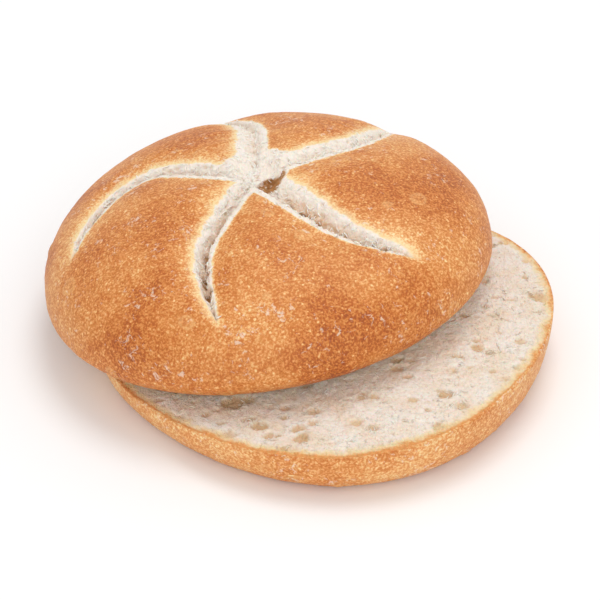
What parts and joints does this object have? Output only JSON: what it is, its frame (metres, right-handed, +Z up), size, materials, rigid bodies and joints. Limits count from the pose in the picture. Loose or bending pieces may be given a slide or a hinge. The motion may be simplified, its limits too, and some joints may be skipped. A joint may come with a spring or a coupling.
{
  "type": "bread roll",
  "caption": "Round crusty bread roll cut in two: a domed crown with curved tears running out from a sunken star, laid askew on its low flat-bottomed heel.",
  "frame": {"origin": "under the middle of the bounding box of both halves, on the surface that the heel stands on", "axes": "+Z up out of the heel's flat underside; +X towards the side where the cut faces part and the crumb shows, -Y towards the front"},
  "size_m": [0.124, 0.126, 0.0441],
  "materials": {
    "crust": "dry baked crust, golden brown with paler flecks and pale torn edges, faintly satin",
    "crumb": "dry open wheat crumb, creamy white with small tan pores, fully matt"
  },
  "bodies": {
    "root": {"crown": "crust", "heel": "crumb"}
  },
  "joints": []
}
